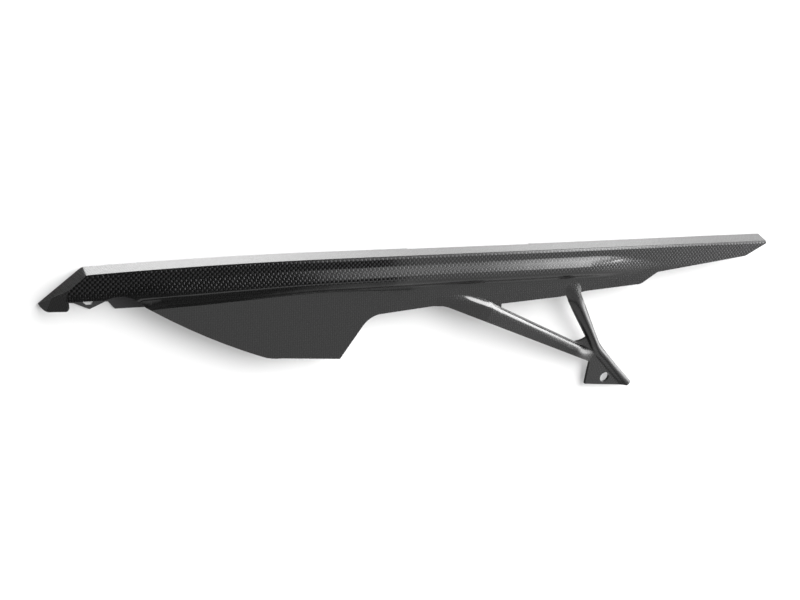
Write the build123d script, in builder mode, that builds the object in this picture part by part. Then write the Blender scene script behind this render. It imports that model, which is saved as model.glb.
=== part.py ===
"""Motorcycle chain guard, one piece moulded in carbon fibre.

Millimetres. +X points to the rear of the motorcycle, +Y inboard to the wheel and +Z up.
The origin is the centre of the rear fixing hole, on the outer face of its lug.
Sizes that end in _x are places along X. Those that end in _z are heights from the top's outer fold.
"""

import os
from math import cos, radians, sin, sqrt, tan

from build123d import *

# Laminate and channel section
wall = 1.8
fold_radius = 2.5
channel_width = 24.0
top_rise = 2.5
tail_rise = 0.9
front_droop = 3.4
fin_inset = 1.0

# Where the bulge along the wall changes, with two of the places measured back from the nose's bend
bend_x = -423.9
front_back = 10.9
shoulder_back = 60.9
middle_x = -250.0
soft_x = -150.0
rear_x = -45.0
fade_x = 35.0
stations_per_stretch = 8

# Bulge at those places: how far out, its radius, its depth below the fold, the blends above and below it,
# and how far the flat wall under it is set in
front_bulge = {"out": 1.5, "radius": 14.0, "depth": 18.0, "blend": 10.0, "root": 1.0, "inset": fin_inset}
shoulder_bulge = {"out": 4.0, "radius": 10.0, "depth": 17.0, "blend": 8.0, "root": 1.0, "inset": fin_inset}
middle_bulge = {"out": 5.0, "radius": 7.0, "depth": 15.5, "blend": 5.0, "root": 1.0, "inset": fin_inset}
soft_bulge = {"out": 5.0, "radius": 7.0, "depth": 15.0, "blend": 5.0, "root": 6.0, "inset": fin_inset}
fade_bulge = {"out": 0.05, "radius": 14.0, "depth": 15.0, "blend": 10.0, "root": 8.0, "inset": 0.0}

# Nose: a sloping face from the bend, a steeper lip below its crease and a lobe at the lip's outer end,
# with lengths measured ahead of the bend
bend_skew = 3.4
bend_radius = 4.0
nose_slope = 38.6
crease_ahead = 11.1
lip_slope = 70.0
lip_turn = 25.0
lip_tip_ahead = 26.7
lip_tip_z = -22.9
lip_bottom_ahead = 23.5
lip_bottom_z = -28.6
lip_rear_z = -24.7
lip_radius = 2.4
lobe_rear_ahead = 12.1
lobe_top_z = -19.5
lobe_out = 5.0
lobe_radius = 3.0

# Lower edge of the outer wall: the arch, measured back from the bend
front_edge_z = -20.1
arch_start_back = 11.9
arch_back = 25.4
arch_z = -18.5
arch_end_back = 38.6
arch_end_z = -26.5

# Lower edge of the outer wall: the fin, measured from its rear corner
fin_corner_x = -243.7
fin_corner_z = -72.0
fin_bow_ahead = 105.3
fin_bow_z = -46.3
fin_turn_ahead = 58.7
fin_turn_z = -66.1
fin_bottom_ahead = 45.1
fin_bottom_z = -68.2
fin_back_behind = 22.6
fin_back_z = -41.9
fin_back_radius = 20.0

# Lower edge of the outer wall: from the fin to the tail
lower_edge_x = -170.0
lower_edge_z = -37.9
window_corner_x = -111.3
window_low_z = -41.9
window_high_z = -39.3
window_edge_x = -58.0
window_edge_z = -36.7
back_edge_x = -34.0
back_edge_z = -33.3
step_x = 17.0
step_z = -30.2
step_end_x = 33.0
step_end_z = -21.2
step_radius = 9.0
tail_tip_x = 144.4
tail_edge_ahead = 21.5
tail_edge_z = -11.6
tail_skew = 11.2

# Inner flange with the front fixing tab, measured back from the bend, then the notch and the lip behind it
tab_back = 7.4
tab_z = -30.1
tab_half_width = 10.5
tab_rise = 4.6
slot_back = 6.7
slot_z = -24.1
slot_length = 7.6
slot_width = 5.4
flange_start_back = 24.3
flange_z = -30.7
flange_end_x = -183.0
flange_end_radius = 12.0
notch_length = 107.0
notch_depth = 4.0
inner_lip = 4.0

# Rear bracket on a plane that leans inboard, with heights named _up measured up that plane from the hole
lean = 12.0
root_up = 72.6
root_depth = 38.1
lug_wall = 2.4
hole_diameter = 8.6
lug_front_x = -18.2
lug_front_up = -4.4
lug_tip_x = 23.6
lug_tip_up = -9.0
lug_corner = 4.6
front_web_length = 5.0
rear_web_length = 10.0
web_hollow = 1.6
web_sink = 1.0

# Front strut: a raised face under a rounded shoulder, placed by the rim above the shoulder
rim_root_x = -119.8
root_lean = 5.0
rim_foot_x = -33.3
rim_foot_up = 33.0
rim_end_x = -11.0
shoulder_height = 4.8
foot_height = 4.3
shoulder_radius = 6.0
fade_shoulder_radius = 20.0
face_width = 22.0
foot_width = 13.0
foot_low = 3.6
front_fade_length = 56.0
front_fade_rise = 9.0
front_fade_turn = 13.0
strut_low_x = -161.3
lug_top_z = -94.0
strut_low_radius = 30.0

# Rear strut: a round ridge, which runs on along the lug's rear edge
rear_root_x = -44.8
rear_root_width = 12.4
rear_foot_x = -17.2
rear_foot_up = 31.0
rear_foot_width = 8.2
rear_height = 4.6
rear_fade_length = 4.0
rear_fade_rise = 13.0
rear_fade_width = 20.0
ridge_turn_x = -10.6
ridge_turn_up = 21.8
joint_share = 0.3
joint_width = 8.8
joint_height = 2.6
joint_shift = 0.2
ridge_end_x = 26.0
ridge_end_up = -10.8
ridge_width = 9.2
ridge_height = 1.7
ridge_shift = 0.25

# How the struts sit in the wall and in the lug
fade_height = 0.1
fade_sink = 0.4
strut_base = 1.0
hollow_depth = 10.0
rear_root_steep = 0.7
round_share = 0.55
soft_share = 0.5
rings_per_stretch = 8

# Lengths that only have to reach past the guard
reach = 60.0
past_end = 40.0

# Planes and places worked out from the sizes
bracket_plane = Plane(
    origin=(0, 0, 0),
    x_dir=(1, 0, 0),
    z_dir=(0, -cos(radians(lean)), -sin(radians(lean))),
)
root_line = bracket_plane.from_local_coords((0, root_up, 0))
fold_y = root_line.Y - fin_inset
fold_z = root_line.Z + root_depth
mid_y = fold_y + channel_width / 2
far_y = fold_y + channel_width
mid_plane = Plane(origin=(0, mid_y, fold_z), x_dir=(1, 0, 0), z_dir=(0, -1, 0))
nose_end_x = bend_x - past_end
tail_end_x = tail_tip_x + past_end
front_x = bend_x + front_back
lobe_rear_x = bend_x - lobe_rear_ahead
lower_end_z = fin_corner_z - reach


def fold_height(x):
    """Height of the outer fold, which droops towards the nose."""
    share = max(0.0, (middle_x - x) / (middle_x - front_x))
    return fold_z - front_droop * share**2


def far_rise(x):
    """How much higher the top's inner edge is than its fold, a little more towards the tail."""
    share = max(0.0, (x - rear_x) / (tail_tip_x - rear_x))
    return top_rise + tail_rise * share


def eased(share):
    """A share of the way that starts and ends smoothly."""
    return share**2 * (3 - 2 * share)


def blend_arc(wall_y, blend_radius, crest, crest_radius, side):
    """Start, middle and end of the arc that leads from a flat wall into the bulge, above or below it."""
    centre_y = wall_y - blend_radius
    rise = sqrt((crest_radius + blend_radius) ** 2 - (crest.X - centre_y) ** 2)
    centre = Vector(centre_y, crest.Y + side * rise)
    to_crest = (crest - centre).normalized()
    middle = centre + (to_crest + Vector(1, 0)).normalized() * blend_radius
    return centre + Vector(blend_radius, 0), middle, centre + to_crest * blend_radius


def contour(x, bulge, skin):
    """Cross-section of the guard's outside, or of its inside when skin is the wall."""
    top_z = fold_height(x) - skin
    out_y = fold_y + skin
    in_y = far_y - skin
    low_z = fold_z + lower_end_z - skin
    crest = Vector(fold_y - bulge["out"] + bulge["radius"], fold_height(x) - bulge["depth"])
    crest_radius = bulge["radius"] - skin
    blend_start, blend_middle, blend_end = blend_arc(out_y, bulge["blend"] + skin, crest, crest_radius, 1)
    root_y = out_y + bulge["inset"]
    root_start, root_middle, root_end = blend_arc(root_y, bulge["root"] + skin, crest, crest_radius, -1)
    with BuildSketch(Plane.YZ.offset(x)) as section:
        with BuildLine():
            FilletPolyline(
                (in_y, low_z),
                (in_y, top_z + far_rise(x)),
                (out_y, top_z),
                blend_start,
                radius=fold_radius - skin / 2,
            )
            ThreePointArc(blend_start, blend_middle, blend_end)
            ThreePointArc(blend_end, crest - Vector(crest_radius, 0), root_end)
            ThreePointArc(root_end, root_middle, root_start)
            Polyline(root_start, (root_y, low_z), (in_y, low_z))
        make_face()
    return section.sketch


def stations(skin):
    """The sections that the guard's outside or inside is lofted through."""
    keys = [
        (nose_end_x - skin, front_bulge, 1),
        (front_x, front_bulge, stations_per_stretch),
        (bend_x + shoulder_back, shoulder_bulge, stations_per_stretch),
        (middle_x, middle_bulge, stations_per_stretch),
        (soft_x, soft_bulge, 1),
        (rear_x, soft_bulge, stations_per_stretch),
        (fade_x, fade_bulge, 1),
        (tail_end_x + skin, fade_bulge, 1),
    ]
    sections = []
    for (start_x, start, steps), (end_x, end, _) in zip(keys, keys[1:]):
        for step in range(steps):
            share = step / steps
            x = start_x + (end_x - start_x) * share
            bulge = {size: start[size] + (end[size] - start[size]) * eased(share) for size in start}
            sections.append(contour(x, bulge, skin))
    sections.append(contour(tail_end_x + skin, fade_bulge, skin))
    return sections


# Faces of the nose
bend_near = Vector(bend_x, fold_y, fold_height(bend_x))
bend_far = bend_near + Vector(bend_skew, channel_width, top_rise)
crease = bend_near - Vector(crease_ahead, 0, crease_ahead * tan(radians(nose_slope)))
nose_out = (bend_far - bend_near).cross(crease - bend_near).normalized()
lip_level = sin(radians(lip_slope))
lip_out = Vector(
    -cos(radians(lip_turn)) * lip_level,
    -sin(radians(lip_turn)) * lip_level,
    cos(radians(lip_slope)),
)


def bend_cutter(skin):
    """What lies outside the nose's sloping face and the round bend at its top, moved in by skin."""
    along_top = Vector(nose_end_x - front_x, 0, fold_height(nose_end_x) - fold_height(front_x))
    top_out = along_top.cross(bend_near - bend_far).normalized()
    half_turn = radians(top_out.get_angle(nose_out)) / 2
    corner = bend_near - (top_out + nose_out).normalized() * (skin / cos(half_turn))
    bend_line = (bend_far - bend_near).normalized()
    section = Plane(origin=corner, x_dir=nose_out.cross(bend_line), z_dir=bend_line)
    tangent = (bend_radius - skin) * tan(half_turn)
    back = section.to_local_coords(corner + bend_line.cross(top_out).normalized() * tangent)
    with BuildPart() as cutter:
        with BuildSketch(section):
            with BuildLine():
                round_bend = TangentArc((tangent, 0), (back.X, back.Y), tangent=(-1, 0))
                Polyline(round_bend @ 0, (2 * reach, 0), (2 * reach, reach), (back.X, reach), round_bend @ 1)
            make_face()
        extrude(amount=reach, both=True)
    return cutter.part


def envelope(skin):
    """The guard's outside, or its inside when skin is the wall, closed at the nose."""
    lobe_y = fold_y - lobe_out + skin
    lobe_z = fold_z + lobe_top_z - skin
    low_z = fold_z + lower_end_z - skin
    with BuildPart() as body:
        loft(stations(skin), ruled=True)
        with BuildSketch(Plane.YZ.offset(lobe_rear_x - skin)):
            with BuildLine():
                FilletPolyline(
                    (mid_y, lobe_z),
                    (lobe_y, lobe_z),
                    (lobe_y, low_z),
                    (mid_y, low_z),
                    radius=lobe_radius,
                )
                Line((mid_y, low_z), (mid_y, lobe_z))
            make_face()
        extrude(amount=nose_end_x - lobe_rear_x)
        add(bend_cutter(skin), mode=Mode.SUBTRACT)
        lip_face = Plane(origin=crease - lip_out * skin, x_dir=(0, 0, 1), z_dir=lip_out)
        split(bisect_by=lip_face, keep=Keep.BOTTOM)
    return body.part


# Region below the outer wall's lower edge
with BuildPart() as under_wall:
    with BuildSketch(mid_plane):
        with BuildLine():
            nose_edge = FilletPolyline(
                (bend_x - lip_tip_ahead, lip_tip_z),
                (bend_x - lip_bottom_ahead, lip_bottom_z),
                (lobe_rear_x, lip_rear_z),
                (lobe_rear_x, front_edge_z),
                radius=lip_radius,
            )
            front_edge = Line(nose_edge @ 1, (bend_x + arch_start_back, front_edge_z))
            arch = ThreePointArc(
                front_edge @ 1,
                (bend_x + arch_back, arch_z),
                (bend_x + arch_end_back, arch_end_z),
            )
            fin_front = ThreePointArc(
                arch @ 1,
                (fin_corner_x - fin_bow_ahead, fin_bow_z),
                (fin_corner_x - fin_turn_ahead, fin_turn_z),
            )
            fin_turn = TangentArc(
                fin_front @ 1,
                (fin_corner_x - fin_bottom_ahead, fin_bottom_z),
                tangent=fin_front % 1,
            )
            fin_bottom = Line(fin_turn @ 1, (fin_corner_x, fin_corner_z))
            fin_back = FilletPolyline(
                fin_bottom @ 1,
                (fin_corner_x + fin_back_behind, fin_back_z),
                (lower_edge_x, lower_edge_z),
                radius=fin_back_radius,
            )
            lower_edge = Polyline(
                fin_back @ 1,
                (window_corner_x, window_low_z),
                (window_corner_x, window_high_z),
                (window_edge_x, window_edge_z),
            )
            tail_edge = FilletPolyline(
                lower_edge @ 1,
                (back_edge_x, back_edge_z),
                (step_x, step_z),
                (step_end_x, step_end_z),
                (tail_tip_x - tail_edge_ahead, tail_edge_z),
                (tail_tip_x, -wall),
                radius=step_radius,
            )
            Polyline(
                tail_edge @ 1,
                (tail_end_x + reach, -wall),
                (tail_end_x + reach, lower_end_z - reach),
                (nose_end_x - reach, lower_end_z - reach),
                (nose_end_x - reach, lip_tip_z),
                nose_edge @ 0,
            )
        make_face()
    extrude(amount=reach)

# Region below the inner flange's lower edge
with BuildPart() as under_flange:
    tab_x = bend_x + tab_back
    tab_top_z = tab_z + tab_rise
    flange_start_x = bend_x + flange_start_back
    lip_end_z = top_rise - inner_lip
    with BuildSketch(mid_plane):
        with BuildLine():
            nose_edge = FilletPolyline(
                (bend_x - lip_tip_ahead, lip_tip_z),
                (bend_x - lip_bottom_ahead, lip_bottom_z),
                (lobe_rear_x, lip_rear_z),
                radius=lip_radius,
            )
            tab_edge = Polyline(
                nose_edge @ 1,
                (tab_x - tab_half_width, tab_top_z),
                (tab_x, tab_z),
                (tab_x + tab_half_width, tab_top_z),
                (flange_start_x - tab_rise, tab_top_z),
                (flange_start_x, flange_z),
            )
            flange_edge = FilletPolyline(
                tab_edge @ 1,
                (flange_end_x, flange_z),
                (flange_end_x, lip_end_z),
                radius=flange_end_radius,
            )
            Polyline(
                flange_edge @ 1,
                (tail_end_x + reach, lip_end_z),
                (tail_end_x + reach, lower_end_z - reach),
                (nose_end_x - reach, lower_end_z - reach),
                (nose_end_x - reach, lip_tip_z),
                nose_edge @ 0,
            )
        make_face()
    extrude(amount=-reach)

# Lines of the struts, from where they fade into the wall to where they end on the lug
wall_out = Vector(0, -1, 0)
root_out = Vector(0, -cos(radians(root_lean)), -sin(radians(root_lean)))
lug_out = bracket_plane.z_dir
rim_root = Vector(rim_root_x, root_up)
rim_foot = Vector(rim_foot_x, rim_foot_up)
rear_root = Vector(rear_root_x, root_up)
rear_foot = Vector(rear_foot_x, rear_foot_up)
ridge_turn = Vector(ridge_turn_x, ridge_turn_up)
ridge_end = Vector(ridge_end_x, ridge_end_up)


def toward(start, end, length):
    """The point at a length from one point of the bracket's plane towards another."""
    return start + (end - start).normalized() * length


def on_bracket(point):
    """A point of the bracket's plane in space."""
    return bracket_plane.from_local_coords(point)


rim_end = rim_foot + (rim_foot - rim_root) * ((rim_end_x - rim_foot_x) / (rim_foot_x - rim_root_x))
with BuildLine() as front_lines:
    front_fade = Bezier(
        root_line + Vector(rim_root_x - front_fade_length, 0, front_fade_rise),
        root_line + Vector(rim_root_x - front_fade_turn, 0, front_fade_rise),
        on_bracket(rim_root),
    )
    front_bar = Line(on_bracket(rim_root), on_bracket(rim_foot))
    front_end = Line(on_bracket(rim_foot), on_bracket(rim_end))
with BuildLine() as rear_lines:
    rear_fade = Line(
        root_line + Vector(rear_root_x - rear_fade_length, 0, rear_fade_rise),
        on_bracket(rear_root),
    )
    rear_bar = Line(on_bracket(rear_root), on_bracket(rear_foot))
    rear_end = Bezier(on_bracket(rear_foot), on_bracket(ridge_turn), on_bracket(ridge_end))
rear_joint = rear_end.trim(0, joint_share)
rear_ridge = rear_end.trim(joint_share, 1)


def strut_places(lines, sizes, skin):
    """Planes across a strut, with their X outboard, and the sizes of the strut at each of them."""
    places = []
    for line, start, end in zip(lines, sizes, sizes[1:]):
        for step in range(rings_per_stretch):
            share = eased(step / rings_per_stretch)
            places.append((line @ (step / rings_per_stretch), start, end, share))
    places.append((lines[-1] @ 1, end, end, 0))
    for index, (at, start, end, share) in enumerate(places):
        before = places[max(index - 1, 0)][0]
        after = places[min(index + 1, len(places) - 1)][0]
        now = {size: start[size] + (end[size] - start[size]) * share for size in start}
        inset = now["sink"] + skin
        yield Plane(origin=at - now["out"] * inset, x_dir=now["out"], z_dir=after - before), now


def front_strut(skin):
    """The front strut's raised face and shoulder, or the hollow behind them when skin is the wall."""
    faded = {
        "out": wall_out,
        "sink": fade_sink,
        "radius": fade_shoulder_radius,
        "height": fade_height,
        "low": fade_height,
        "width": face_width,
    }
    root = {
        "out": root_out,
        "sink": 0,
        "radius": shoulder_radius,
        "height": shoulder_height,
        "low": shoulder_height,
        "width": face_width,
    }
    foot = {
        "out": lug_out,
        "sink": 0,
        "radius": shoulder_radius,
        "height": foot_height,
        "low": foot_low,
        "width": foot_width,
    }
    ended = {
        "out": lug_out,
        "sink": fade_sink,
        "radius": fade_shoulder_radius,
        "height": fade_height,
        "low": 0,
        "width": foot_width,
    }
    sections = []
    for plane, now in strut_places((front_fade, front_bar, front_end), (faded, root, foot, ended), skin):
        run = sqrt(now["radius"] ** 2 - (now["radius"] - now["height"]) ** 2)
        depth = hollow_depth if skin else strut_base
        with BuildSketch(plane) as section:
            with BuildLine():
                shoulder = TangentArc((now["height"], skin + run), (0, skin), tangent=(0, -1))
                Polyline(
                    shoulder @ 1,
                    (-depth, skin),
                    (-depth, now["width"] + skin),
                    (now["low"], now["width"] + skin),
                    shoulder @ 0,
                )
            make_face()
        sections.append(section.sketch)
    with BuildPart() as strut:
        loft(sections, ruled=True)
    return strut.part


def flank(foot, crest, steep):
    """A curve from a foot up to a crest that is flat there, and at its foot flat (0) or upright (1)."""
    foot = Vector(*foot)
    across = crest.Y - foot.Y
    reach_up = crest.X * round_share * steep
    foot_run = across * soft_share * (1 - steep)
    crest_run = across * (round_share * steep + soft_share * (1 - steep))
    return Bezier(foot, foot + Vector(reach_up, foot_run), crest - Vector(0, crest_run), crest)


def rear_strut(skin):
    """The rear strut and the ridge on the lug, or the hollow behind them when skin is the wall."""
    faded = {
        "out": wall_out,
        "sink": fade_sink,
        "height": fade_height,
        "width": rear_fade_width,
        "crest": 0,
        "front": 0,
        "rear": 0,
    }
    root = {
        "out": wall_out,
        "sink": 0,
        "height": rear_height,
        "width": rear_root_width,
        "crest": 0,
        "front": rear_root_steep,
        "rear": rear_root_steep,
    }
    foot = {
        "out": lug_out,
        "sink": 0,
        "height": rear_height,
        "width": rear_foot_width,
        "crest": 0,
        "front": rear_root_steep,
        "rear": 1,
    }
    joined = {
        "out": lug_out,
        "sink": 0,
        "height": joint_height,
        "width": joint_width,
        "crest": -joint_shift,
        "front": 0,
        "rear": 1,
    }
    ended = {
        "out": lug_out,
        "sink": 0,
        "height": ridge_height,
        "width": ridge_width,
        "crest": -ridge_shift,
        "front": 0,
        "rear": 1,
    }
    sections = []
    lines = (rear_fade, rear_bar, rear_joint, rear_ridge)
    for plane, now in strut_places(lines, (faded, root, foot, joined, ended), skin):
        half = now["width"] / 2 - skin
        depth = hollow_depth if skin else strut_base
        crest = Vector(now["height"], now["crest"] * half)
        with BuildSketch(plane) as section:
            with BuildLine():
                front = flank((0, half), crest, now["front"])
                rear = flank((0, -half), crest, now["rear"])
                Polyline(rear @ 0, (-depth, -half), (-depth, half), front @ 0)
            make_face()
        sections.append(section.sketch)
    with BuildPart() as strut:
        loft(sections, ruled=True)
    return strut.part


# Region below the front strut's lower edge
with BuildPart() as under_strut:
    with BuildSketch(mid_plane):
        with BuildLine():
            low_edge = FilletPolyline(
                (strut_low_x - reach, lower_edge_z),
                (strut_low_x, lower_edge_z),
                (lug_front_x, lug_top_z),
                radius=strut_low_radius,
            )
            Polyline(
                low_edge @ 1,
                (lug_front_x, lug_top_z - reach),
                (strut_low_x - reach, lug_top_z - reach),
                low_edge @ 0,
            )
        make_face()
    extrude(amount=reach, both=True)

# Bracket: the struts, a flat lug and the webs in the struts' corners
with BuildPart() as bracket:
    add(front_strut(0))
    add(under_strut.part, mode=Mode.SUBTRACT)
    add(rear_strut(0))
    with BuildSketch(bracket_plane):
        with BuildLine():
            Polyline(
                (lug_front_x, lug_front_up),
                ridge_end,
                ridge_turn,
                rear_foot,
                (lug_front_x, rim_foot_up),
                close=True,
            )
        make_face()
        with BuildLine():
            into_strut = Vector(0, -web_sink)
            web_front = toward(rim_foot, rim_root, front_web_length) + into_strut
            web_rear = toward(rear_foot, rear_root, rear_web_length)
            SagittaArc(web_rear, web_front, web_hollow)
            Polyline(web_front, rim_end + into_strut, rear_foot, web_rear)
        make_face()
    extrude(amount=-lug_wall)

# Region below the lug's lower edge
with BuildPart() as under_lug:
    with BuildSketch(bracket_plane):
        with BuildLine():
            Polyline(
                (lug_front_x, lug_front_up),
                (lug_tip_x, lug_tip_up),
                (lug_tip_x + lug_corner, lug_tip_up + lug_corner),
                (lug_tip_x + reach, lug_tip_up),
                (lug_tip_x + reach, lug_tip_up - reach),
                (lug_front_x, lug_tip_up - reach),
                close=True,
            )
        make_face()
    extrude(amount=reach, both=True)

with BuildPart() as chain_guard:
    add(envelope(0))
    add(envelope(wall), mode=Mode.SUBTRACT)
    add(under_wall.part, mode=Mode.SUBTRACT)
    add(under_flange.part, mode=Mode.SUBTRACT)
    tail_end = Plane(origin=(tail_tip_x, fold_y, fold_z), z_dir=(channel_width, -tail_skew, 0))
    split(bisect_by=tail_end, keep=Keep.BOTTOM)
    with BuildSketch(Plane.XY.offset(fold_z - reach)):
        with Locations((flange_end_x + notch_length / 2, far_y)):
            Rectangle(notch_length, 2 * notch_depth)
    extrude(amount=2 * reach, mode=Mode.SUBTRACT)
    with BuildSketch(mid_plane):
        with Locations((bend_x + slot_back, slot_z)):
            SlotOverall(slot_length, slot_width)
    extrude(amount=-reach, mode=Mode.SUBTRACT)
    add(bracket.part)
    add(front_strut(wall), mode=Mode.SUBTRACT)
    add(rear_strut(wall), mode=Mode.SUBTRACT)
    add(under_lug.part, mode=Mode.SUBTRACT)
    with BuildSketch(bracket_plane):
        Circle(hole_diameter / 2)
    extrude(amount=2 * lug_wall, both=True, mode=Mode.SUBTRACT)

chain_guard.part.label = "chain_guard"
os.makedirs("parts", exist_ok=True)
export_step(chain_guard.part, "parts/chain_guard.step")
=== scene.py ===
"""Looks of the carbon-fibre chain guard: its clear-coated weave, the sheet behind it, light and camera."""

import math
from collections import namedtuple

import bpy
from mathutils import Matrix, Vector


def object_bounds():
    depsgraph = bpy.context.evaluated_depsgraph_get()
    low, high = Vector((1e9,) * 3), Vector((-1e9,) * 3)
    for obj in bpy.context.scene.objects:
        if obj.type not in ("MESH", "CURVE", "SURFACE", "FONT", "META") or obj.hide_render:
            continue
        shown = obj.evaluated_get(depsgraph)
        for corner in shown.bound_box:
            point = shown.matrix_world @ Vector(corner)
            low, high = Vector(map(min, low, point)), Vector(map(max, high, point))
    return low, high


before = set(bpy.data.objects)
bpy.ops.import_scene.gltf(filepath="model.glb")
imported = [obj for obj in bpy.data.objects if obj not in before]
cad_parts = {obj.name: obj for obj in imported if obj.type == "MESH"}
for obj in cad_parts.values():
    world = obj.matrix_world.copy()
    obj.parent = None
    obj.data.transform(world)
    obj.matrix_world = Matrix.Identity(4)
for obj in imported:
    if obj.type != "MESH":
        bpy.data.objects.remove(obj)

cad_low, cad_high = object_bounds()
cad_middle = (cad_low + cad_high) / 2
MM = 0.001
WHITE = (1.0, 1.0, 1.0, 1.0)

# Cloth: a tow's width, its crown's height and the angle that the crown spans, colours and the fibres' shine
TOW = 1.67 * MM
CROWN = 0.11 * MM
ARCH = 0.9 * math.pi
# Warp and weft are one fibre, but the warp's colour is painted lighter, as painted sheen where light
# catches the warp tows, and the weft's darker, as their painted shade
WARP_PAINTED_SHEEN_COLOUR = (0.042, 0.042, 0.043, 1.0)
WEFT_PAINTED_SHADE_COLOUR = (0.004, 0.004, 0.004, 1.0)
RESIN_COLOUR = (0.012, 0.012, 0.012, 1.0)
FIBRE_ROUGHNESS = 0.33
FIBRE_ANISOTROPY = 0.5

# How far a face turns up or down, or to the front or rear, before the cloth there is laid out along Y
LYING = 0.72

# Where the weave shows: fully above a fade between two depths below the guard's top, and faintly under it
WEAVE_LOW = 22.5 * MM
WEAVE_HIGH = 17.5 * MM
FAINT = 0.12

# Faces under that fade that look up: how far they turn, and how much of the weave shows on them, more than
# the faint share, as painted sheen where light from above falls
LOOKS_UP = (0.05, 0.4)
UPWARD_WEAVE_PAINTED_SHEEN = 0.3

# Clear coat: sharp on the walls, dull on those faces that look up, and duller at the bracket's low end
COAT_IOR = 1.5
COAT_ROUGHNESS = 0.04
DULL_ROUGHNESS = 0.14
LOW_END_ROUGHNESS = 0.26
LOW_END_X = (-85.0 * MM, -55.0 * MM)
LOW_END_Z = (68.0 * MM, 74.0 * MM)

# Surface of the coat: its ripple, and the slight draft of the upper wall
RIPPLE = 0.05 * MM
RIPPLES_PER_METRE = 55.0
RIPPLE_DETAIL = 2.0
DRAFT = 0.025

# Inside of the channel: half the channel's width, and depths below the guard's top
HALF_CHANNEL = 12.0 * MM
CHANNEL_DEPTH = 36.0 * MM
UNDER_TOP_DEPTH = 10.0 * MM

# Faces that are inside: how far they turn in or down, and their bare resin
TURNED_IN = -0.15
TURNED_DOWN = -0.5
INSIDE_COLOUR = (0.03, 0.03, 0.031, 1.0)
INSIDE_ROUGHNESS = 0.5

# Roots of the bracket's struts, where the coat's normal turns to the wall's: places along X, and heights
WALL_FACING = (0.0, -1.0, 0.0)
FRONT_ROOT_X = -185.0 * MM
REAR_ROOT_X = (-75.0 * MM, -35.0 * MM)
REAR_ROOT_Z = (60.0 * MM, 73.0 * MM)
ROOT_TOP_Z = (84.0 * MM, 87.0 * MM)
ROOT_BLEND = 0.9

# Shoulder of the front strut, where that normal turns on to the shoulder's: its stretch along X
SHOULDER_FACING = (0.272, -0.865, 0.421)
SHOULDER_RISE_X = (-160.0 * MM, -134.0 * MM)
SHOULDER_END_X = (-126.0 * MM, -112.0 * MM)

# Line of the shoulder: its drop along X, its height above the rear hole, and half its width
SHOULDER_DROP = 0.346
SHOULDER_HEIGHT = 27.2 * MM
SHOULDER_HALF_WIDTH = 3.8 * MM

# Camera: focal length and roll from the photograph's perspective, placed by what it looks at
IMAGE_WIDTH = 800
FOCAL_PIXELS = 1300
SENSOR_WIDTH = 36.0
CLIP_NEAR = 0.01
CLIP_FAR = 50.0
CAMERA_AZIMUTH = -27.5
CAMERA_ELEVATION = 11.0
CAMERA_ROLL = 2.25
CAMERA_DISTANCE = 0.936
CAMERA_TARGET = Vector((-0.19803, -0.0161, 0.07758))

# Sheet behind the guard
SHEET_GAP = 0.6 * MM
SHEET_SIZE = 1.3
SHEET_COLOUR = (0.55, 0.55, 0.55, 1.0)
SHEET_GLOW = 0.18

# Room's own light, the azimuth where panels to the side end, and how many degrees they fade over
ROOM = 0.07
SIDE_END = 118
SIDE_FADE = 8

# Edges that no share or elevation reaches, for panels that go on to the end
NO_START = -2.0
NO_END = 2.0
NO_LOW = -95

# Light panels around the guard.
# Start and end are azimuths in degrees, or shares of the way to +X: "right" all round, "side" to SIDE_END.
# Low and high are elevations in degrees. Edge softens the first pair, and soft the second.
Panel = namedtuple("Panel", "across start end edge low high soft radiance")
PANELS = (
    # Low lights that the fin, the lower wall and the struts' faces mirror
    Panel("side", start=0.07, end=0.455, edge=0.012, low=-19.5, high=-10.4, soft=0.3, radiance=0.95),
    Panel("side", start=0.455, end=NO_END, edge=0.012, low=-38, high=14, soft=2.0, radiance=0.95),
    # Floor that the bulge's underside and the bracket's rear edge mirror
    Panel("right", start=0.455, end=NO_END, edge=0.012, low=NO_LOW, high=-38, soft=2.0, radiance=0.75),
    Panel("right", start=0.40, end=0.455, edge=0.03, low=NO_LOW, high=-28, soft=4.0, radiance=0.6),
    Panel("right", start=NO_START, end=0.20, edge=0.04, low=NO_LOW, high=-28, soft=4.0, radiance=0.8),
    # Window that the bulge and the wall's upper edge mirror, brightest at the rear
    Panel("side", start=0.41, end=NO_END, edge=0.06, low=16, high=70, soft=5.0, radiance=1.6),
    Panel("side", start=0.55, end=0.615, edge=0.05, low=14, high=70, soft=5.0, radiance=6.0),
    # Bright lights that the front strut's shoulder, the rear strut and the lug's ridge mirror
    Panel("azimuth", start=54, end=94, edge=3.0, low=9, high=34, soft=3.0, radiance=12.0),
    Panel("azimuth", start=56, end=92, edge=4.0, low=-22, high=6, soft=4.0, radiance=5.5),
    # Fill that lightens the shadow on the sheet and the weave near the nose
    Panel("azimuth", start=-70, end=4, edge=4.0, low=-28, high=14, soft=6.0, radiance=0.5),
    # Back light that the top mirrors, brighter near the tail and towards the nose
    Panel("azimuth", start=126, end=178, edge=2.0, low=2, high=32, soft=2.0, radiance=0.95),
    Panel("azimuth", start=139, end=147, edge=3.0, low=2, high=32, soft=2.0, radiance=0.35),
    Panel("azimuth", start=154, end=178, edge=9.0, low=2, high=32, soft=2.0, radiance=1.1),
    # Light that the nose's front mirrors
    Panel("azimuth", start=-150, end=-95, edge=6.0, low=-30, high=30, soft=6.0, radiance=0.2),
    # High light on the nose's side
    Panel("azimuth", start=-179, end=-40, edge=8.0, low=45, high=85, soft=8.0, radiance=1.0),
)


def direction(azimuth, elevation):
    """Unit vector towards an azimuth (0 is -Y, 90 is +X) and an elevation, in degrees."""
    turn = math.radians(azimuth)
    rise = math.radians(elevation)
    return Vector((math.sin(turn) * math.cos(rise), -math.cos(turn) * math.cos(rise), math.sin(rise)))


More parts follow.
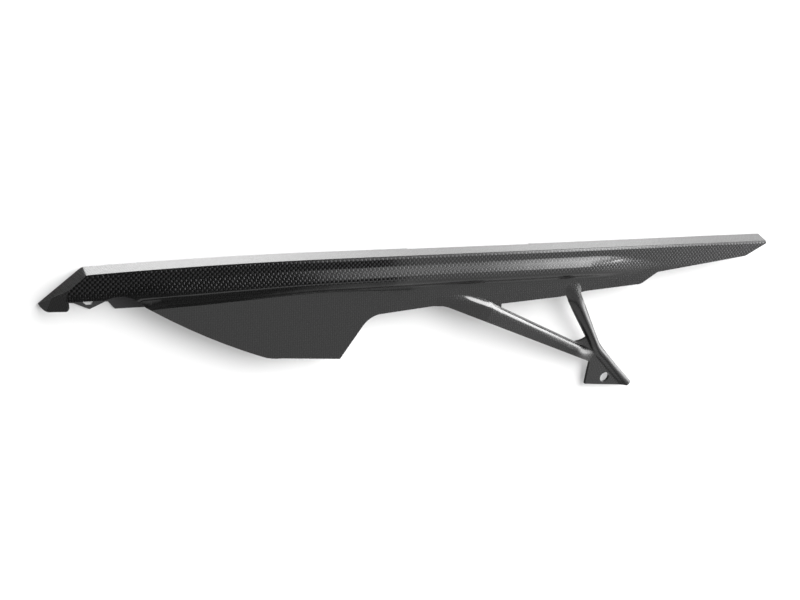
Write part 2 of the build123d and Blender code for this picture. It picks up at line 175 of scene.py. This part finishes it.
class ShaderTree:
    """Short calls that add nodes to a shader tree and link them."""

    # Places of a mix node's two inputs and its output, by kind of data
    MIX_PLACES = {"FLOAT": (2, 3, 0), "VECTOR": (4, 5, 1), "RGBA": (6, 7, 2)}

    def __init__(self, node_tree):
        self.nodes = node_tree.nodes
        self.links = node_tree.links
        self.nodes.clear()

    def add(self, kind, settings=None, **inputs):
        """Add a node, with inputs by their names."""
        node = self.nodes.new(kind)
        for name, value in (settings or {}).items():
            setattr(node, name, value)
        for name, value in inputs.items():
            self.put(node.inputs[name.replace("_", " ")], value)
        return node

    def add_in_order(self, kind, settings, *values):
        """Add a node, with inputs in their order, and give its first output."""
        node = self.add(kind, settings)
        for socket, value in zip(node.inputs, values):
            self.put(socket, value)
        return node.outputs[0]

    def put(self, socket, value):
        """Link another node's output to a socket, or set the socket's own value."""
        if isinstance(value, bpy.types.NodeSocket):
            self.links.new(value, socket)
        else:
            socket.default_value = value

    def math(self, operation, *values):
        return self.add_in_order("ShaderNodeMath", {"operation": operation}, *values)

    def vector_math(self, operation, *values):
        return self.add_in_order("ShaderNodeVectorMath", {"operation": operation}, *values)

    def both(self, first, second):
        """Where two masks hold together."""
        return self.math("MULTIPLY", first, second)

    def ramp(self, value, low, high, to_low=0.0, to_high=1.0, smooth=True):
        """A value's way from low to high, as a way from to_low to to_high."""
        node = self.add(
            "ShaderNodeMapRange",
            {"interpolation_type": "SMOOTHSTEP" if smooth else "LINEAR"},
            Value=value,
            From_Min=low,
            From_Max=high,
            To_Min=to_low,
            To_Max=to_high,
        )
        return node.outputs["Result"]

    def between(self, share, low, high):
        """The value that lies a share of the way from low to high."""
        return self.ramp(share, 0.0, 1.0, low, high, smooth=False)

    def mix(self, share, first, second, kind="FLOAT"):
        node = self.add("ShaderNodeMix", {"data_type": kind}, Factor=share)
        first_place, second_place, result_place = self.MIX_PLACES[kind]
        self.put(node.inputs[first_place], first)
        self.put(node.inputs[second_place], second)
        return node.outputs[result_place]

    def shader(self, **inputs):
        return self.add("ShaderNodeBsdfPrincipled", **inputs).outputs[0]

    def mix_shader(self, share, first, second):
        return self.add_in_order("ShaderNodeMixShader", {}, share, first, second)

    def add_shader(self, first, second):
        return self.add_in_order("ShaderNodeAddShader", {}, first, second)


def weave(tree, at, facing):
    """Plain weave on the wall, the top and the nose: height of the tows, and where the weft is up."""
    lying = tree.math("GREATER_THAN", tree.math("ABSOLUTE", facing["Z"]), LYING)
    fore = tree.math("GREATER_THAN", tree.math("ABSOLUTE", facing["X"]), LYING)
    along = tree.math("DIVIDE", tree.mix(fore, at["X"], at["Y"]), TOW)
    across = tree.math("DIVIDE", tree.mix(lying, at["Z"], at["Y"]), TOW)
    cell = tree.math("ADD", tree.math("FLOOR", along), tree.math("FLOOR", across))
    weft_up = tree.math("FLOORED_MODULO", cell, 2.0)
    in_along = tree.math("SUBTRACT", tree.math("FRACT", along), 0.5)
    in_across = tree.math("SUBTRACT", tree.math("FRACT", across), 0.5)
    over_tow = tree.mix(weft_up, in_across, in_along)
    along_tow = tree.mix(weft_up, in_along, in_across)
    crown = tree.math("COSINE", tree.math("MULTIPLY", over_tow, ARCH))
    wave = tree.math("COSINE", tree.math("MULTIPLY", along_tow, ARCH))
    return tree.math("MULTIPLY", crown, wave), weft_up


def inside(tree, at, facing):
    """Where a face looks into the channel or to the back of the wall, the fin and the bracket."""
    in_channel = tree.math("GREATER_THAN", at["Z"], cad_high.z - CHANNEL_DEPTH)
    on_flange = tree.both(tree.math("GREATER_THAN", at["Y"], cad_high.y - HALF_CHANNEL), in_channel)
    outward = tree.math("MULTIPLY", facing["Y"], tree.between(on_flange, -1.0, 1.0))
    at_top = tree.math("GREATER_THAN", at["Z"], cad_high.z - UNDER_TOP_DEPTH)
    under_top = tree.both(tree.math("LESS_THAN", facing["Z"], TURNED_DOWN), at_top)
    return tree.math("MAXIMUM", tree.math("LESS_THAN", outward, TURNED_IN), under_top)


def off_the_wall(tree, at, normal):
    """The coat's normal, turned towards the wall's and then the shoulder's over the struts' roots."""
    before_end = tree.ramp(at["X"], *SHOULDER_END_X, 1.0, 0.0)
    front = tree.both(tree.math("GREATER_THAN", at["X"], FRONT_ROOT_X), before_end)
    rear_start, rear_end = REAR_ROOT_X
    behind = tree.math("GREATER_THAN", at["X"], rear_start)
    beside = tree.both(behind, tree.math("LESS_THAN", at["X"], rear_end))
    rear = tree.both(beside, tree.ramp(at["Z"], *REAR_ROOT_Z))
    under_top = tree.ramp(at["Z"], *ROOT_TOP_Z, ROOT_BLEND, 0.0)
    share = tree.both(tree.math("MAXIMUM", front, rear), under_top)
    along = tree.both(tree.ramp(at["X"], *SHOULDER_RISE_X), tree.math("SUBTRACT", 1.0, behind))
    height = tree.math("ADD", at["Z"], tree.math("MULTIPLY", at["X"], SHOULDER_DROP))
    off_line = tree.math("ABSOLUTE", tree.math("SUBTRACT", height, SHOULDER_HEIGHT))
    on_shoulder = tree.both(along, tree.ramp(off_line, 0.0, SHOULDER_HALF_WIDTH, 1.0, 0.0))
    target = tree.mix(on_shoulder, WALL_FACING, SHOULDER_FACING, "VECTOR")
    return tree.vector_math("NORMALIZE", tree.mix(share, normal, target, "VECTOR"))


def coat_normal(tree, place, at):
    """Normal of the coat's own surface: its ripple, the upper wall's draft and the struts' roots."""
    noise = tree.add("ShaderNodeTexNoise", Vector=place, Scale=RIPPLES_PER_METRE, Detail=RIPPLE_DETAIL)
    ripple = tree.math("MULTIPLY", noise.outputs["Fac"], RIPPLE)
    above = tree.math("MAXIMUM", tree.math("SUBTRACT", at["Z"], cad_high.z - WEAVE_LOW), 0.0)
    drawn_in = tree.math("MULTIPLY", above, -DRAFT)
    level = tree.math("ADD", ripple, drawn_in)
    bump = tree.add("ShaderNodeBump", Strength=1.0, Distance=1.0, Height=level)
    return off_the_wall(tree, at, bump.outputs["Normal"])


def carbon():
    """Plain-weave carbon cloth, clear-coated outside and matt inside."""
    material = bpy.data.materials.new("carbon_laminate_gloss")
    material.use_nodes = True
    tree = ShaderTree(material.node_tree)
    place = tree.add("ShaderNodeTexCoord").outputs
    at = tree.add("ShaderNodeSeparateXYZ", Vector=place["Object"]).outputs
    facing = tree.add("ShaderNodeSeparateXYZ", Vector=place["Normal"]).outputs
    height, weft_up = weave(tree, at, facing)
    tows = tree.add("ShaderNodeBump", Strength=1.0, Distance=CROWN, Height=height).outputs["Normal"]
    warp_line = tree.add("ShaderNodeCombineXYZ", X=1.0).outputs[0]
    surface = tree.add("ShaderNodeNewGeometry").outputs["Normal"]
    across_warp = tree.vector_math("CROSS_PRODUCT", surface, warp_line)
    upper = tree.ramp(at["Z"], cad_high.z - WEAVE_LOW, cad_high.z - WEAVE_HIGH)
    looks_up = tree.both(tree.ramp(facing["Z"], *LOOKS_UP), tree.math("SUBTRACT", 1.0, upper))
    low_end = tree.both(tree.ramp(at["X"], *LOW_END_X), tree.ramp(at["Z"], *LOW_END_Z, 1.0, 0.0))
    # Faces that look up get more of the weave's colour: painted sheen where light from above falls
    clear = tree.math("MAXIMUM", upper, tree.between(looks_up, FAINT, UPWARD_WEAVE_PAINTED_SHEEN))
    polish = tree.math(
        "MAXIMUM",
        tree.between(looks_up, COAT_ROUGHNESS, DULL_ROUGHNESS),
        tree.between(low_end, COAT_ROUGHNESS, LOW_END_ROUGHNESS),
    )
    # The weave's real pattern of cells, with the warp painted lighter than the weft: painted sheen and
    # painted shade in the tows' colour
    tow_colour_with_painted_sheen = tree.mix(weft_up, WARP_PAINTED_SHEEN_COLOUR, WEFT_PAINTED_SHADE_COLOUR, "RGBA")
    gloss = tree.shader(
        Base_Color=tree.mix(clear, RESIN_COLOUR, tow_colour_with_painted_sheen, "RGBA"),
        Metallic=1.0,
        Roughness=FIBRE_ROUGHNESS,
        Anisotropic=FIBRE_ANISOTROPY,
        Tangent=tree.mix(weft_up, across_warp, warp_line, "VECTOR"),
        Normal=tows,
        Coat_Weight=1.0,
        Coat_Roughness=polish,
        Coat_IOR=COAT_IOR,
        Coat_Normal=coat_normal(tree, place["Object"], at),
    )
    matt = tree.shader(Base_Color=INSIDE_COLOUR, Roughness=INSIDE_ROUGHNESS, Normal=tows)
    tree.add("ShaderNodeOutputMaterial", Surface=tree.mix_shader(inside(tree, at, facing), gloss, matt))
    return material


def sheet_material():
    """White sheet that takes the guard's shadow, seen from its front only."""
    material = bpy.data.materials.new("white_sheet")
    material.use_nodes = True
    tree = ShaderTree(material.node_tree)
    seen = tree.add("ShaderNodeLightPath").outputs["Is Camera Ray"]
    behind = tree.add("ShaderNodeNewGeometry").outputs["Backfacing"]
    lit = tree.add("ShaderNodeBsdfDiffuse", Color=SHEET_COLOUR).outputs[0]
    glow = tree.add("ShaderNodeEmission", Strength=tree.math("MULTIPLY", seen, SHEET_GLOW)).outputs[0]
    clear = tree.add("ShaderNodeBsdfTransparent").outputs[0]
    front = tree.add_shader(lit, glow)
    tree.add("ShaderNodeOutputMaterial", Surface=tree.mix_shader(behind, front, clear))
    return material


def white_sheet():
    """The sheet that the guard lies against, facing the camera's side."""
    y = cad_high.y + SHEET_GAP
    half = SHEET_SIZE / 2
    left, right = cad_middle.x - half, cad_middle.x + half
    bottom, top = cad_middle.z - half, cad_middle.z + half
    corners = [(left, y, bottom), (right, y, bottom), (right, y, top), (left, y, top)]
    mesh = bpy.data.meshes.new("sheet")
    mesh.from_pydata(corners, [], [(0, 1, 2, 3)])
    mesh.materials.append(sheet_material())
    sheet = bpy.data.objects.new("sheet", mesh)
    bpy.context.scene.collection.objects.link(sheet)
    sheet.visible_diffuse = False
    sheet.visible_glossy = False
    sheet.visible_transmission = False
    sheet.visible_shadow = False


def sheet_key(azimuth, elevation, distance, size, radiance):
    """The lamp that lights the sheet and throws the guard's shadow on it."""
    data = bpy.data.lights.new("sheet_key", "AREA")
    data.shape = "SQUARE"
    data.size = size
    data.energy = radiance * math.pi * size**2
    lamp = bpy.data.objects.new("sheet_key", data)
    bpy.context.scene.collection.objects.link(lamp)
    back = direction(azimuth, elevation)
    lamp.location = cad_middle + back * distance
    lamp.rotation_mode = "QUATERNION"
    lamp.rotation_quaternion = (-back).to_track_quat("-Z", "Y")
    lamp.visible_camera = False
    lamp.visible_glossy = False


def studio():
    """Light panels in a dim room, behind a background that the camera sees as white."""
    world = bpy.data.worlds.new("studio")
    bpy.context.scene.world = world
    world.use_nodes = True
    tree = ShaderTree(world.node_tree)
    towards = tree.add("ShaderNodeTexCoord").outputs["Generated"]
    ray = tree.add("ShaderNodeSeparateXYZ", Vector=towards).outputs
    outward = tree.math("MULTIPLY", ray["Y"], -1.0)
    azimuth = tree.math("DEGREES", tree.math("ARCTAN2", ray["X"], outward))
    elevation = tree.math("DEGREES", tree.math("ARCSINE", ray["Z"]))
    before_end = tree.ramp(azimuth, SIDE_END, SIDE_END + SIDE_FADE, 1.0, 0.0)
    side = tree.math("MULTIPLY", ray["X"], before_end)
    across = {"azimuth": azimuth, "right": ray["X"], "side": side}
    light = ROOM
    for panel in PANELS:
        shape = panel.radiance
        for reach, start, end, soft in (
            (across[panel.across], panel.start, panel.end, panel.edge),
            (elevation, panel.low, panel.high, panel.soft),
        ):
            shape = tree.math("MULTIPLY", shape, tree.ramp(reach, start - soft, start + soft))
            shape = tree.math("MULTIPLY", shape, tree.ramp(reach, end - soft, end + soft, 1.0, 0.0))
        light = tree.math("ADD", light, shape)
    seen = tree.add("ShaderNodeLightPath").outputs["Is Camera Ray"]
    strength = tree.mix(seen, light, 1.0)
    background = tree.add("ShaderNodeBackground", Color=WHITE, Strength=strength)
    tree.add("ShaderNodeOutputWorld", Surface=background.outputs[0])


def camera():
    """The photograph's camera, by its place, its roll and its focal length."""
    data = bpy.data.cameras.new("camera")
    data.sensor_width = SENSOR_WIDTH
    data.lens = FOCAL_PIXELS / IMAGE_WIDTH * SENSOR_WIDTH
    data.clip_start = CLIP_NEAR
    data.clip_end = CLIP_FAR
    eye = bpy.data.objects.new("camera", data)
    bpy.context.scene.collection.objects.link(eye)
    back = direction(CAMERA_AZIMUTH, CAMERA_ELEVATION)
    heading = math.radians(CAMERA_AZIMUTH)
    level = Vector((math.cos(heading), math.sin(heading), 0.0))
    upright = back.cross(level)
    roll = math.radians(CAMERA_ROLL)
    right = level * math.cos(roll) + upright * math.sin(roll)
    up = upright * math.cos(roll) - level * math.sin(roll)
    turn = Matrix((right, up, back)).transposed()
    eye.matrix_world = Matrix.Translation(CAMERA_TARGET + back * CAMERA_DISTANCE) @ turn.to_4x4()
    bpy.context.scene.camera = eye


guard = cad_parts["chain_guard"]
guard.material_slots[0].link = "OBJECT"
guard.material_slots[0].material = carbon()

white_sheet()
studio()
camera()
sheet_key(azimuth=10, elevation=22, distance=2.0, size=1.5, radiance=7.2)

bpy.context.scene.view_settings.view_transform = "Standard"
